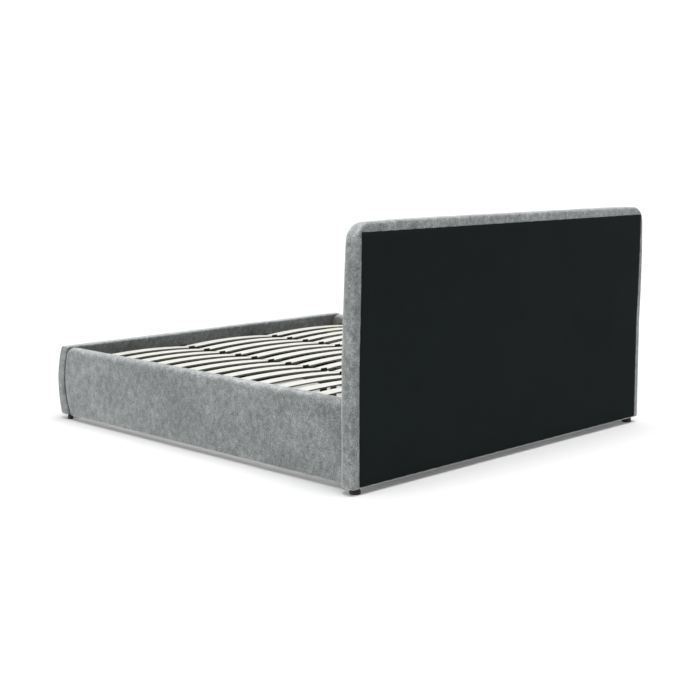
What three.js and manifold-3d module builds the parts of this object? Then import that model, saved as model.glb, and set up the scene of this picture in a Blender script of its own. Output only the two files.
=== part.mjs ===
// Upholstered sleigh bed for a 1800 x 2000 mm mattress.
//
// A padded headboard, two padded side rails and a bowed padded footboard are bolted together at
// four corner brackets. Three columns of bowed slats lie on ledges inside the rails and on two
// steel beams with legs. Millimetres, +X to the right seen from the foot, +Y to the head, +Z up.
// The origin is on the floor, under the middle of the bed.

import * as THREE from "three";
import { mergeVertices } from "three/addons/utils/BufferGeometryUtils.js";
import Module from "manifold-3d";

const wasm = await Module();
wasm.setup();

// Clearance that faces in contact keep
const GAP = 0.3;
// How far a cutter runs past what it cuts
const OVERRUN = 5;
// Shortest side that an outline keeps, and how near two vertices are one
const SHORTEST_SIDE = 0.05;
const MERGE_DISTANCE = 0.001;
// Points along a quarter turn, and along the footboard's arcs
const CORNER_DIVISIONS = 5;
const BOW_DIVISIONS = 7;

// Whole bed
const OVERALL_LENGTH = 2224.5;
const COVER_BOTTOM = 25;

// Headboard
const HEADBOARD_HALF_WIDTH = 1042;
const HEADBOARD_TOP = 1105;
const HEADBOARD_THICKNESS = 92;
const HEADBOARD_LEAN = 12;
const LEAN_START = 520;
const LEAN_LEVELS = [520, 620, 720, 820, 920, 1020];
const HEADBOARD_CORNER_RADIUS = 70;
const HEADBOARD_FRONT_RADIUS = 45;
const HEADBOARD_BACK_RADIUS = 12;
const HEADBOARD_BOTTOM_RADIUS = 12;
const SHARPEST_FRONT = 6;
const SHARPEST_BACK = 3;
const FRONT_CORNER_STEPS = 5;
const BACK_CORNER_STEPS = 3;
const BOTTOM_ROUNDING_DEGREES = [0, 30, 60, 90];
const TOP_ROUNDING_DEGREES = [0, 20, 40, 55, 68, 80, 90];
const HEADBOARD_RECESS_DEPTH = 55;
const HEADBOARD_RECESS_HALF_WIDTH = 998;
const HEADBOARD_RECESS_BOTTOM = 46;
const HEADBOARD_RECESS_TOP = 1052;
const FRONT_BOARD_THICKNESS = 12;
const STILE_WIDTH = 150;
const STILE_THICKNESS = 38;
const CROSS_RAIL_HEIGHT = 90;
const BACK_CLOTH_HALF_WIDTH = 1012.5;
const BACK_CLOTH_BOTTOM = 33;
const BACK_CLOTH_TOP = 1069;
const BACK_CLOTH_THICKNESS = 1.2;

// Side rails
const RAIL_OUTER_X = 991;
const RAIL_INNER_X = 938;
const RAIL_TOP = 380;
const RAIL_BOTTOM = 24;
const RAIL_TOP_RADIUS = 26;
const RAIL_BOTTOM_RADIUS = 8;
const RAIL_FOOT_CORNER_RADIUS = 30;
const RAIL_END_GAP_TOP = 2;
const RAIL_END_GAP_BOTTOM = 11;
const RAIL_BOARD_THICKNESS = 22;
const RAIL_BOARD_TOP = 362;
const RAIL_BOARD_BOTTOM = 34;
const RAIL_BOARD_END_COVER = 32;
const RAIL_END_STEPS = 9;

// Footboard: two arcs about one centre line, bowed away from the mattress
const FOOTBOARD_TOP = 378;
const FOOTBOARD_THICKNESS = 50;
const FOOTBOARD_OUTER_RADIUS = 432;
const FOOTBOARD_ARC_Z = 198;
const FOOTBOARD_CORNERS = { outerTop: 12, innerTop: 14, innerBottom: 14, outerBottom: 18 };
const FOOTBOARD_CORE_THICKNESS = 20;
const FOOTBOARD_CORE_TOP = 356;
const FOOTBOARD_CORE_BOTTOM = 36;
const FOOTBOARD_CORE_END_COVER = 16;
const FOOTBOARD_CORE_STEPS = 8;
const FOOT_END_ROUNDING = 12;

// Slats and what carries them
const SLAT_ROWS = 15;
const SLAT_PITCH = 129;
const SLAT_FIRST_FROM_BULGE = 211;
const SLAT_WIDTH = 70;
const SLAT_THICKNESS = 8;
const SLAT_CAMBER = 13;
const SLAT_END_UNDERSIDE = 314;
const SLAT_ARC_STEPS = 6;
const SLAT_END_INSET = 9;
const TONGUE_RECESS = 2;
const COLUMN_BOUNDARY_X = 303.5;
const COLUMN_HALF_GAP = 3;
const CAP_LENGTH = 28;
const CAP_WALL = 3;
const CAP_OVERHANG = 2;
const CAP_TOP = 326;
const LEDGE_TOP = 300;
const LEDGE_WIDTH = 34;
const LEDGE_HEIGHT = 40;
const LEDGE_END_GAP = 6;
const ANGLE_WALL = 3;
const BEAM_WIDTH = 40;
const BEAM_HEIGHT = 40;
const BEAM_WALL = 2;
const BEAM_CORNER_RADIUS = 3;
const BEAM_END_GAP = 2;
const BEAM_LEDGE_HALF_LENGTH = 850;

// Legs, feet and fasteners
const LEG_RADIUS = 17.5;
const LEG_PLATE_RADIUS = 30;
const LEG_PLATE_THICKNESS = 3;
const LEG_PAD_RADIUS = 22;
const LEG_PAD_HEIGHT = 8;
const LEG_SEGMENTS = 16;
const LEG_DISTANCES_FROM_HEAD = [390, 935, 1480];
const HEAD_FOOT_RADIUS = 24;
const END_FOOT_RADIUS = 14;
const FOOT_HEIGHT = 23;
const FOOT_EDGE = 3;
const FOOT_SEGMENTS = 20;
const HEAD_FOOT_X = 1000;
const END_FOOT_X = 971;
const HEAD_FOOT_FROM_BACK = 36;
const END_FOOT_FROM_BULGE = 72;
const BRACKET_THICKNESS = 3;
const BRACKET_LEG = 60;
const BRACKET_BOTTOM = 140;
const BRACKET_TOP = 256;
const BOLT_X = 905;
const BOLT_HEIGHTS = [170, 226];
const BOLT_RADIUS = 4;
const BOLT_HEAD_RADIUS = 9;
const BOLT_HEAD_HEIGHT = 5;
const BOLT_HEAD_CHAMFER = 1.5;
const BOLT_SEGMENTS = 12;
const HEAD_BOLT_LENGTH = 72;
const FOOT_BOLT_LENGTH = 34;
const HOLE_CLEARANCE = 0.6;

// Worked out from the driving dimensions
const BULGE_Y = -OVERALL_LENGTH / 2;
const CLOTH_PROUD = GAP + BACK_CLOTH_THICKNESS;
const HEAD_BACK_Y = OVERALL_LENGTH / 2 - HEADBOARD_LEAN - CLOTH_PROUD;
const HEAD_FRONT_Y = HEAD_BACK_Y - HEADBOARD_THICKNESS;
const FOOT_ARC_Y = BULGE_Y + FOOTBOARD_OUTER_RADIUS;
const FOOTBOARD_INNER_RADIUS = FOOTBOARD_OUTER_RADIUS - FOOTBOARD_THICKNESS;
const BEAM_BOTTOM = LEDGE_TOP - BEAM_HEIGHT;
const HOLE_RADIUS = BOLT_RADIUS + HOLE_CLEARANCE;
const SIDES = { left: -1, right: 1 };

// ---------------------------------------------------------------- shapes

// Depth of an arc of the footboard at a height
function arcY(radius, z) {
  return FOOT_ARC_Y - Math.sqrt(radius ** 2 - (z - FOOTBOARD_ARC_Z) ** 2);
}

// How far the headboard leans back at a height
function leanAt(z) {
  const share = Math.max(0, z - LEAN_START) / (HEADBOARD_TOP - LEAN_START);
  return HEADBOARD_LEAN * Math.sin(Math.min(1, share) * Math.PI / 2);
}

function outline(points) {
  return new THREE.Shape(points.map(([u, v]) => new THREE.Vector2(u, v)));
}

// A shape with its curves turned into points and no two neighbouring points alike
function polygon(shape, divisions) {
  const points = shape.getPoints(divisions);
  const apart = points.filter((point, i) => {
    return point.distanceTo(points[(i + 1) % points.length]) > SHORTEST_SIDE;
  });
  return new THREE.Shape(apart);
}

// A (y, z) outline drawn out along X
function extrudeAlongX(shape, x0, x1) {
  const geometry = new THREE.ExtrudeGeometry(shape, { depth: x1 - x0, bevelEnabled: false });
  const turn = new THREE.Matrix4().makeBasis(
    new THREE.Vector3(0, 1, 0),
    new THREE.Vector3(0, 0, 1),
    new THREE.Vector3(1, 0, 0),
  );
  return geometry.applyMatrix4(turn).translate(x0, 0, 0);
}

// An (x, z) outline drawn out along Y
function extrudeAlongY(shape, y0, y1) {
  const geometry = new THREE.ExtrudeGeometry(shape, { depth: y1 - y0, bevelEnabled: false });
  return geometry.rotateX(Math.PI / 2).translate(0, y1, 0);
}

function box(x0, x1, y0, y1, z0, z1) {
  const geometry = new THREE.BoxGeometry(x1 - x0, y1 - y0, z1 - z0);
  return geometry.translate((x0 + x1) / 2, (y0 + y1) / 2, (z0 + z1) / 2);
}

// The same box on either side of the bed: distances from the centre line, for side -1 or 1
function sideBox(side, near, far, y0, y1, z0, z1) {
  return box(Math.min(side * near, side * far), Math.max(side * near, side * far), y0, y1, z0, z1);
}

// A rectangle with a rounded upper and lower pair of corners
function roundedRectangle(u0, u1, v0, v1, upper, lower) {
  const shape = new THREE.Shape();
  shape.moveTo(u0 + lower, v0);
  shape.lineTo(u1 - lower, v0);
  shape.absarc(u1 - lower, v0 + lower, lower, -Math.PI / 2, 0, false);
  shape.lineTo(u1, v1 - upper);
  shape.absarc(u1 - upper, v1 - upper, upper, 0, Math.PI / 2, false);
  shape.lineTo(u0 + upper, v1);
  shape.absarc(u0 + upper, v1 - upper, upper, Math.PI / 2, Math.PI, false);
  shape.lineTo(u0, v0 + lower);
  shape.absarc(u0 + lower, v0 + lower, lower, Math.PI, Math.PI * 1.5, false);
  return polygon(shape, CORNER_DIVISIONS);
}

// A slab that follows the headboard's lean
function leanSlab(x0, x1, yFront, yBack, z0, z1) {
  const heights = [z0, ...LEAN_LEVELS.filter((z) => z > z0 && z < z1), z1];
  const front = heights.map((z) => [yFront + leanAt(z), z]);
  const back = heights.map((z) => [yBack + leanAt(z), z]);
  return extrudeAlongX(outline([...front, ...back.reverse()]), x0, x1);
}

// A turned piece standing on its axis: radius and height pairs from the bottom up
function turned(profile, segments) {
  const points = profile.map(([radius, height]) => new THREE.Vector2(radius, height));
  return new THREE.LatheGeometry(points, segments).rotateX(Math.PI / 2);
}

// ---------------------------------------------------------------- booleans

function toSolid(geometry) {
  const bare = geometry.clone();
  bare.deleteAttribute("normal");
  bare.deleteAttribute("uv");
  const merged = mergeVertices(bare, MERGE_DISTANCE);
  return new wasm.Manifold(new wasm.Mesh({
    numProp: 3,
    vertProperties: new Float32Array(merged.attributes.position.array),
    triVerts: new Uint32Array(merged.index.array),
  }));
}

function toGeometry(solid) {
  const mesh = solid.getMesh();
  const geometry = new THREE.BufferGeometry();
  geometry.setAttribute("position", new THREE.BufferAttribute(new Float32Array(mesh.vertProperties), 3));
  geometry.setIndex(new THREE.BufferAttribute(new Uint32Array(mesh.triVerts), 1));
  geometry.computeVertexNormals();
  return geometry;
}

function cut(geometry, cutters) {
  let solid = toSolid(geometry);
  for (const cutter of cutters) {
    solid = solid.subtract(toSolid(cutter));
  }
  return toGeometry(solid);
}

// Clearance holes of every rail bolt at one end of the bed, between two depths
function boltHoles(y0, y1, sides = [-1, 1]) {
  const holes = [];
  for (const side of sides) {
    for (const z of BOLT_HEIGHTS) {
      const hole = new THREE.CylinderGeometry(HOLE_RADIUS, HOLE_RADIUS, y1 - y0, BOLT_SEGMENTS);
      holes.push(hole.translate(side * BOLT_X, (y0 + y1) / 2, z));
    }
  }
  return holes;
}

// ---------------------------------------------------------------- materials and the bed

const bed = new THREE.Group();

function finish(color, roughness, metalness) {
  return () => new THREE.MeshStandardMaterial({ color, roughness, metalness });
}

const greyFabric = finish(0x8b8e8e, 0.95, 0);
const blackCloth = finish(0x1c2121, 0.9, 0);
const frameWood = finish(0xc7a676, 0.75, 0);
const slatWood = finish(0xeee6d6, 0.6, 0);
const blackPlastic = finish(0x141414, 0.45, 0);
const blackSteel = finish(0x1b1b1d, 0.5, 0.6);
const zincSteel = finish(0xb4b8bc, 0.35, 0.9);

function add(name, geometry, material) {
  const mesh = new THREE.Mesh(geometry, material());
  mesh.name = name;
  bed.add(mesh);
}

// ---------------------------------------------------------------- headboard

// How far an edge of a radius has drawn in at a depth inside that radius
function drawIn(radius, depth) {
  const inside = Math.max(0, depth);
  return radius - Math.sqrt(radius ** 2 - inside ** 2);
}

// One level of the headboard's padded body: a rectangle in plan, soft in front and firm behind
function headboardRing(z) {
  const belowTop = HEADBOARD_TOP - z;
  const cornerInset = drawIn(HEADBOARD_CORNER_RADIUS, HEADBOARD_CORNER_RADIUS - belowTop);
  const frontInset = drawIn(HEADBOARD_FRONT_RADIUS, HEADBOARD_FRONT_RADIUS - belowTop);
  const backInset = drawIn(HEADBOARD_BACK_RADIUS, HEADBOARD_BACK_RADIUS - belowTop);
  const bottomInset = drawIn(HEADBOARD_BOTTOM_RADIUS, COVER_BOTTOM + HEADBOARD_BOTTOM_RADIUS - z);
  const halfWidth = HEADBOARD_HALF_WIDTH - cornerInset - bottomInset;
  const yFront = HEAD_FRONT_Y + leanAt(z) + frontInset + bottomInset;
  const yBack = HEAD_BACK_Y + leanAt(z) - backInset - bottomInset;
  const frontRadius = Math.max(SHARPEST_FRONT, HEADBOARD_FRONT_RADIUS - frontInset);
  const backRadius = Math.max(SHARPEST_BACK, HEADBOARD_BACK_RADIUS - backInset);
  const ring = [];
  const corners = [
    [halfWidth - backRadius, yBack - backRadius, backRadius, 0, BACK_CORNER_STEPS],
    [-halfWidth + backRadius, yBack - backRadius, backRadius, 1, BACK_CORNER_STEPS],
    [-halfWidth + frontRadius, yFront + frontRadius, frontRadius, 2, FRONT_CORNER_STEPS],
    [halfWidth - frontRadius, yFront + frontRadius, frontRadius, 3, FRONT_CORNER_STEPS],
  ];
  for (const [x, y, radius, quarter, steps] of corners) {
    for (let step = 0; step <= steps; step += 1) {
      const angle = (quarter + step / steps) * Math.PI / 2;
      ring.push([x + radius * Math.cos(angle), y + radius * Math.sin(angle), z]);
    }
  }
  return ring;
}

// A closed skin through rings of equal length, stacked from the bottom up
function loft(rings) {
  const count = rings[0].length;
  const positions = rings.flat(2);
  const faces = [];
  for (let level = 0; level + 1 < rings.length; level += 1) {
    for (let i = 0; i < count; i += 1) {
      const next = (i + 1) % count;
      const low = level * count;
      const high = low + count;
      faces.push(low + i, low + next, high + next);
      faces.push(low + i, high + next, high + i);
    }
  }
  const last = (rings.length - 1) * count;
  const capOutline = rings[0].map(([x, y]) => new THREE.Vector2(x, y));
  for (const [a, b, c] of THREE.ShapeUtils.triangulateShape(capOutline, [])) {
    faces.push(a, c, b);
  }
  const topOutline = rings[rings.length - 1].map(([x, y]) => new THREE.Vector2(x, y));
  for (const [a, b, c] of THREE.ShapeUtils.triangulateShape(topOutline, [])) {
    faces.push(last + a, last + b, last + c);
  }
  const geometry = new THREE.BufferGeometry();
  geometry.setAttribute("position", new THREE.Float32BufferAttribute(positions, 3));
  geometry.setIndex(faces);
  geometry.computeVertexNormals();
  return geometry;
}

function headboardBody() {
  const bottom = BOTTOM_ROUNDING_DEGREES.map((degrees) => {
    const turn = THREE.MathUtils.degToRad(degrees);
    return COVER_BOTTOM + HEADBOARD_BOTTOM_RADIUS * (1 - Math.cos(turn));
  });
  const top = TOP_ROUNDING_DEGREES.map((degrees) => {
    const turn = THREE.MathUtils.degToRad(degrees);
    return HEADBOARD_TOP - HEADBOARD_CORNER_RADIUS * (1 - Math.sin(turn));
  });
  return loft([...bottom, ...LEAN_LEVELS, ...top].map(headboardRing));
}

const recessFloorY = HEAD_BACK_Y - HEADBOARD_RECESS_DEPTH;
const boardBackY = recessFloorY + GAP + FRONT_BOARD_THICKNESS;
const timberFrontY = boardBackY + GAP;
const timberBackY = timberFrontY + STILE_THICKNESS;
const recess = leanSlab(
  -HEADBOARD_RECESS_HALF_WIDTH, HEADBOARD_RECESS_HALF_WIDTH,
  recessFloorY, HEAD_BACK_Y + 2 * OVERRUN, HEADBOARD_RECESS_BOTTOM, HEADBOARD_RECESS_TOP,
);
add("headboard_cover", cut(headboardBody(), [
  recess,
  ...boltHoles(HEAD_FRONT_Y - OVERRUN, recessFloorY + OVERRUN),
]), greyFabric);

const frontBoard = leanSlab(
  -HEADBOARD_RECESS_HALF_WIDTH + GAP, HEADBOARD_RECESS_HALF_WIDTH - GAP,
  recessFloorY + GAP, boardBackY, HEADBOARD_RECESS_BOTTOM + GAP, HEADBOARD_RECESS_TOP - GAP,
);
const frontBoardHoles = boltHoles(recessFloorY - OVERRUN, timberFrontY + OVERRUN);
add("headboard_front_board", cut(frontBoard, frontBoardHoles), frameWood);

for (const [name, side] of Object.entries(SIDES)) {
  const outer = side * (HEADBOARD_RECESS_HALF_WIDTH - GAP);
  const inner = side * (HEADBOARD_RECESS_HALF_WIDTH - GAP - STILE_WIDTH);
  const stile = leanSlab(
    Math.min(inner, outer), Math.max(inner, outer),
    timberFrontY, timberBackY, HEADBOARD_RECESS_BOTTOM + GAP, HEADBOARD_RECESS_TOP - GAP,
  );
  const holes = boltHoles(timberFrontY - OVERRUN, timberBackY + OVERRUN, [side]);
  add(`headboard_stile_${name}`, cut(stile, holes), frameWood);
}

const crossHalfLength = HEADBOARD_RECESS_HALF_WIDTH - STILE_WIDTH - 2 * GAP;
const crossTop = HEADBOARD_RECESS_TOP - GAP;
const crossBottom = HEADBOARD_RECESS_BOTTOM + GAP;
add("headboard_top_rail", leanSlab(
  -crossHalfLength, crossHalfLength, timberFrontY, timberBackY, crossTop - CROSS_RAIL_HEIGHT, crossTop,
), frameWood);
add("headboard_bottom_rail", leanSlab(
  -crossHalfLength, crossHalfLength, timberFrontY, timberBackY, crossBottom, crossBottom + CROSS_RAIL_HEIGHT,
), frameWood);
add("headboard_back_cloth", leanSlab(
  -BACK_CLOTH_HALF_WIDTH, BACK_CLOTH_HALF_WIDTH,
  HEAD_BACK_Y + GAP, HEAD_BACK_Y + CLOTH_PROUD, BACK_CLOTH_BOTTOM, BACK_CLOTH_TOP,
), blackCloth);

// ---------------------------------------------------------------- side rails

const railHeadY = HEAD_FRONT_Y - GAP;
const boardFootY = arcY(FOOTBOARD_INNER_RADIUS, RAIL_BOARD_BOTTOM) + RAIL_BOARD_END_COVER;

// The rail seen from the side: its foot end follows the footboard, with a gap that widens downward
function railSideOutline() {
  const arcTop = RAIL_TOP - RAIL_FOOT_CORNER_RADIUS;
  const endPoint = (z) => {
    const down = (RAIL_TOP - z) / (RAIL_TOP - RAIL_BOTTOM);
    const gap = RAIL_END_GAP_TOP + (RAIL_END_GAP_BOTTOM - RAIL_END_GAP_TOP) * down;
    return [arcY(FOOTBOARD_INNER_RADIUS, z) + gap, z];
  };
  const below = RAIL_BOTTOM - OVERRUN;
  const above = RAIL_TOP + OVERRUN;
  const end = [];
  for (let step = 0; step <= RAIL_END_STEPS; step += 1) {
    end.push(endPoint(below + (arcTop - below) * step / RAIL_END_STEPS));
  }
  const shape = outline([[railHeadY, above], [railHeadY, below], ...end]);
  const [cornerY] = endPoint(RAIL_TOP);
  shape.quadraticCurveTo(cornerY, RAIL_TOP, cornerY + RAIL_FOOT_CORNER_RADIUS, RAIL_TOP);
  shape.lineTo(cornerY + RAIL_FOOT_CORNER_RADIUS, above);
  return polygon(shape, CORNER_DIVISIONS);
}

for (const [name, side] of Object.entries(SIDES)) {
  const low = Math.min(side * RAIL_INNER_X, side * RAIL_OUTER_X);
  const high = Math.max(side * RAIL_INNER_X, side * RAIL_OUTER_X);
  const section = roundedRectangle(low, high, RAIL_BOTTOM, RAIL_TOP, RAIL_TOP_RADIUS, RAIL_BOTTOM_RADIUS);
  const bar = toSolid(extrudeAlongY(section, BULGE_Y, railHeadY));
  const sideView = toSolid(extrudeAlongX(railSideOutline(), low - OVERRUN, high + OVERRUN));
  const boardInner = (RAIL_INNER_X + RAIL_OUTER_X - RAIL_BOARD_THICKNESS) / 2;
  const boardOuter = boardInner + RAIL_BOARD_THICKNESS;
  const slot = sideBox(
    side, boardInner - GAP, boardOuter + GAP,
    boardFootY - GAP, railHeadY + OVERRUN, RAIL_BOTTOM - OVERRUN, RAIL_BOARD_TOP + GAP,
  );
  add(`side_rail_cover_${name}`, toGeometry(bar.intersect(sideView).subtract(toSolid(slot))), greyFabric);
  add(`side_rail_board_${name}`, sideBox(
    side, boardInner, boardOuter, boardFootY, railHeadY, RAIL_BOARD_BOTTOM, RAIL_BOARD_TOP,
  ), frameWood);
}

// ---------------------------------------------------------------- footboard

// The bowed section between two radii and two heights, with rounded corners
function bowedOutline(outerRadius, innerRadius, z0, z1, corners) {
  const { outerTop, innerTop, innerBottom, outerBottom } = corners;
  const shape = new THREE.Shape();
  const angleAt = (radius, z) => Math.PI - Math.asin((z - FOOTBOARD_ARC_Z) / radius);
  shape.moveTo(arcY(outerRadius, z1 - outerTop), z1 - outerTop);
  shape.absarc(
    FOOT_ARC_Y, FOOTBOARD_ARC_Z, outerRadius,
    angleAt(outerRadius, z1 - outerTop), angleAt(outerRadius, z0 + outerBottom), false,
  );
  shape.quadraticCurveTo(arcY(outerRadius, z0), z0, arcY(outerRadius, z0) + outerBottom, z0);
  shape.lineTo(arcY(innerRadius, z0) - innerBottom, z0);
  shape.quadraticCurveTo(arcY(innerRadius, z0), z0, arcY(innerRadius, z0 + innerBottom), z0 + innerBottom);
  shape.absarc(
    FOOT_ARC_Y, FOOTBOARD_ARC_Z, innerRadius,
    angleAt(innerRadius, z0 + innerBottom), angleAt(innerRadius, z1 - innerTop), true,
  );
  shape.quadraticCurveTo(arcY(innerRadius, z1), z1, arcY(innerRadius, z1) - innerTop, z1);
  shape.lineTo(arcY(outerRadius, z1) + outerTop, z1);
  shape.quadraticCurveTo(arcY(outerRadius, z1), z1, arcY(outerRadius, z1 - outerTop), z1 - outerTop);
  return polygon(shape, BOW_DIVISIONS);
}

// A square-cornered bowed section through a list of heights
function bowedStrip(outerRadius, innerRadius, heights) {
  const outer = heights.map((z) => [arcY(outerRadius, z), z]);
  const inner = heights.map((z) => [arcY(innerRadius, z), z]);
  return outline([...inner, ...outer.reverse()]);
}

const footboardSection = bowedOutline(
  FOOTBOARD_OUTER_RADIUS, FOOTBOARD_INNER_RADIUS, COVER_BOTTOM, FOOTBOARD_TOP, FOOTBOARD_CORNERS,
);
const footboardFront = roundedRectangle(
  -RAIL_OUTER_X, RAIL_OUTER_X, COVER_BOTTOM, FOOTBOARD_TOP, FOOT_END_ROUNDING, FOOT_END_ROUNDING,
);
const footboardReach = RAIL_OUTER_X + OVERRUN;
const footboardBody = toSolid(extrudeAlongX(footboardSection, -footboardReach, footboardReach))
  .intersect(toSolid(extrudeAlongY(footboardFront, BULGE_Y - OVERRUN, 0)));
const coreOuterRadius = FOOTBOARD_OUTER_RADIUS - (FOOTBOARD_THICKNESS - FOOTBOARD_CORE_THICKNESS) / 2;
const coreInnerRadius = coreOuterRadius - FOOTBOARD_CORE_THICKNESS;
const coreHalfLength = RAIL_OUTER_X - FOOTBOARD_CORE_END_COVER;
const coreHeights = [];
for (let step = 0; step <= FOOTBOARD_CORE_STEPS; step += 1) {
  const share = step / FOOTBOARD_CORE_STEPS;
  coreHeights.push(FOOTBOARD_CORE_BOTTOM + (FOOTBOARD_CORE_TOP - FOOTBOARD_CORE_BOTTOM) * share);
}
const slotHeights = [COVER_BOTTOM - OVERRUN, ...coreHeights.slice(0, -1), FOOTBOARD_CORE_TOP + GAP];
const coreSlot = extrudeAlongX(
  bowedStrip(coreOuterRadius + GAP, coreInnerRadius - GAP, slotHeights),
  -coreHalfLength - GAP, coreHalfLength + GAP,
);
const footHolesEndY = arcY(FOOTBOARD_INNER_RADIUS, BRACKET_BOTTOM) + 4 * OVERRUN;
const coverHolesStartY = arcY(coreInnerRadius, FOOTBOARD_ARC_Z) - OVERRUN;
const coreHolesStartY = arcY(coreOuterRadius, FOOTBOARD_ARC_Z) - OVERRUN;
add("footboard_cover", cut(toGeometry(footboardBody), [
  coreSlot,
  ...boltHoles(coverHolesStartY, footHolesEndY),
]), greyFabric);
add("footboard_core", cut(extrudeAlongX(
  bowedStrip(coreOuterRadius, coreInnerRadius, coreHeights),
  -coreHalfLength, coreHalfLength,
), boltHoles(coreHolesStartY, footHolesEndY)), frameWood);

// ---------------------------------------------------------------- corner brackets and bolts

const bracketFaceY = arcY(FOOTBOARD_INNER_RADIUS, BRACKET_BOTTOM) + GAP;
const ENDS = {
  head: { faceY: HEAD_FRONT_Y - GAP, inward: -1, boltLength: HEAD_BOLT_LENGTH },
  foot: { faceY: bracketFaceY, inward: 1, boltLength: FOOT_BOLT_LENGTH },
};

function bracket(side, faceY, inward) {
  const railFace = side * (RAIL_INNER_X - GAP);
  const wall = side * (RAIL_INNER_X - GAP - BRACKET_THICKNESS);
  const tip = side * (RAIL_INNER_X - GAP - BRACKET_LEG);
  const inner = faceY + inward * BRACKET_THICKNESS;
  const end = faceY + inward * BRACKET_LEG;
  const shape = outline([
    [railFace, faceY], [tip, faceY], [tip, inner], [wall, inner], [wall, end], [railFace, end],
  ]);
  const depth = BRACKET_TOP - BRACKET_BOTTOM;
  const plate = new THREE.ExtrudeGeometry(shape, { depth, bevelEnabled: false });
  plate.translate(0, 0, BRACKET_BOTTOM);
  const low = Math.min(faceY, inner) - OVERRUN;
  const high = Math.max(faceY, inner) + OVERRUN;
  return cut(plate, boltHoles(low, high, [side]));
}

function bolt(length) {
  return turned([
    [0, 0], [BOLT_RADIUS, 0], [BOLT_RADIUS, length], [BOLT_HEAD_RADIUS, length],
    [BOLT_HEAD_RADIUS - BOLT_HEAD_CHAMFER, length + BOLT_HEAD_HEIGHT], [0, length + BOLT_HEAD_HEIGHT],
  ], BOLT_SEGMENTS);
}

for (const [end, { faceY, inward, boltLength }] of Object.entries(ENDS)) {
  for (const [name, side] of Object.entries(SIDES)) {
    add(`corner_bracket_${end}_${name}`, bracket(side, faceY, inward), zincSteel);
    for (const [level, z] of [["lower", BOLT_HEIGHTS[0]], ["upper", BOLT_HEIGHTS[1]]]) {
      const shank = bolt(boltLength).rotateX(-inward * Math.PI / 2);
      const headFace = faceY + inward * (BRACKET_THICKNESS + GAP);
      shank.translate(side * BOLT_X, headFace - inward * boltLength, z);
      add(`bolt_${end}_${name}_${level}`, shank, zincSteel);
    }
  }
}

// ---------------------------------------------------------------- slat ledges, beams and legs

const ledgeHeadY = HEAD_FRONT_Y - BRACKET_THICKNESS - 2 * GAP;
const ledgeFootY = arcY(FOOTBOARD_INNER_RADIUS, LEDGE_TOP) + LEDGE_END_GAP;
for (const [name, side] of Object.entries(SIDES)) {
  add(`side_rail_ledge_${name}`, sideBox(
    side, RAIL_INNER_X - GAP - LEDGE_WIDTH, RAIL_INNER_X - GAP,
    ledgeFootY, ledgeHeadY, LEDGE_TOP - LEDGE_HEIGHT, LEDGE_TOP,
  ), frameWood);
}

// A steel angle under the beams: one leg flat on the board behind it, the other under the beams
function beamLedge(boardY, inward) {
  const top = BEAM_BOTTOM - GAP;
  const bottom = top - LEDGE_HEIGHT;
  const wall = boardY + inward * ANGLE_WALL;
  const tip = boardY + inward * LEDGE_WIDTH;
  const section = outline([
    [boardY, bottom], [wall, bottom], [wall, top - ANGLE_WALL],
    [tip, top - ANGLE_WALL], [tip, top], [boardY, top],
  ]);
  return extrudeAlongX(section, -BEAM_LEDGE_HALF_LENGTH, BEAM_LEDGE_HALF_LENGTH);
}

const headLedgeY = HEAD_FRONT_Y - GAP;
const footLedgeY = arcY(FOOTBOARD_INNER_RADIUS, BEAM_BOTTOM) + GAP;
add("head_beam_ledge", beamLedge(headLedgeY, -1), blackSteel);
add("foot_beam_ledge", beamLedge(footLedgeY, 1), blackSteel);

const beamFootY = arcY(FOOTBOARD_INNER_RADIUS, LEDGE_TOP) + BEAM_END_GAP;
for (const [name, side] of Object.entries(SIDES)) {
  const x = side * COLUMN_BOUNDARY_X;
  const section = roundedRectangle(
    x - BEAM_WIDTH / 2, x + BEAM_WIDTH / 2, BEAM_BOTTOM, LEDGE_TOP, BEAM_CORNER_RADIUS, BEAM_CORNER_RADIUS,
  );
  const bore = BEAM_WIDTH / 2 - BEAM_WALL;
  section.holes.push(outline([
    [x - bore, BEAM_BOTTOM + BEAM_WALL], [x - bore, LEDGE_TOP - BEAM_WALL],
    [x + bore, LEDGE_TOP - BEAM_WALL], [x + bore, BEAM_BOTTOM + BEAM_WALL],
  ]));
  add(`centre_beam_${name}`, extrudeAlongY(section, beamFootY, HEAD_FRONT_Y - GAP), blackSteel);
}

const legTop = BEAM_BOTTOM - GAP;
const legProfile = [
  [0, 0], [LEG_PAD_RADIUS, 0], [LEG_PAD_RADIUS, LEG_PAD_HEIGHT], [LEG_RADIUS, LEG_PAD_HEIGHT],
  [LEG_RADIUS, legTop - LEG_PLATE_THICKNESS], [LEG_PLATE_RADIUS, legTop - LEG_PLATE_THICKNESS],
  [LEG_PLATE_RADIUS, legTop], [0, legTop],
];
LEG_DISTANCES_FROM_HEAD.forEach((distance, index) => {
  const place = ["head", "middle", "foot"][index];
  for (const [name, side] of Object.entries(SIDES)) {
    const leg = turned(legProfile, LEG_SEGMENTS);
    leg.translate(side * COLUMN_BOUNDARY_X, HEAD_BACK_Y - distance, 0);
    add(`centre_leg_${place}_${name}`, leg, blackSteel);
  }
});

// ---------------------------------------------------------------- corner feet

function glideFoot(radius) {
  return turned([
    [0, 0], [radius - FOOT_EDGE, 0], [radius, FOOT_EDGE], [radius, FOOT_HEIGHT - FOOT_EDGE],
    [radius - FOOT_EDGE, FOOT_HEIGHT], [0, FOOT_HEIGHT],
  ], FOOT_SEGMENTS);
}

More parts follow.
